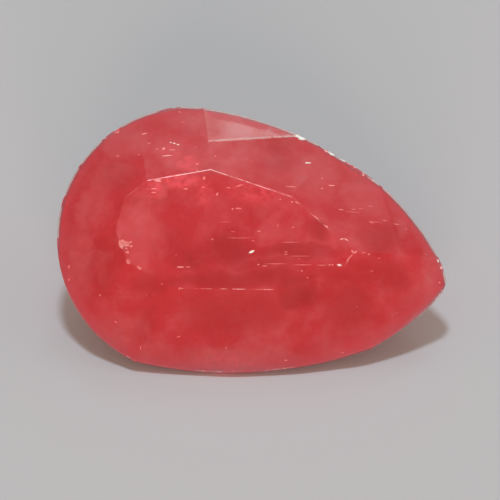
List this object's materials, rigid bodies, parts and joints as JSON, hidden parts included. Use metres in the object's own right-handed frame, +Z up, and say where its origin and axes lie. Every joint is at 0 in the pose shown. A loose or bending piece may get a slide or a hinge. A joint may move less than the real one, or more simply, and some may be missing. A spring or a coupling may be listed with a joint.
{
  "type": "pear-cut rhodonite gemstone",
  "caption": "Loose pear-shaped faceted gemstone of milky pinkish-red rhodonite, with a chipped girdle, lying on one facet of its pavilion with its table facing forward.",
  "frame": {"origin": "the middle of the bounding box's underside, on the surface that the stone lies on", "axes": "+X towards the point of the pear, along the longest extent; +Z up, square to the facet that the stone lies on; the table leans towards -Y"},
  "size_m": [0.01, 0.0056, 0.0044],
  "materials": {
    "rhodonite": "polished"
  },
  "bodies": {
    "root": {"rhodonite_stone": "rhodonite"}
  },
  "joints": []
}
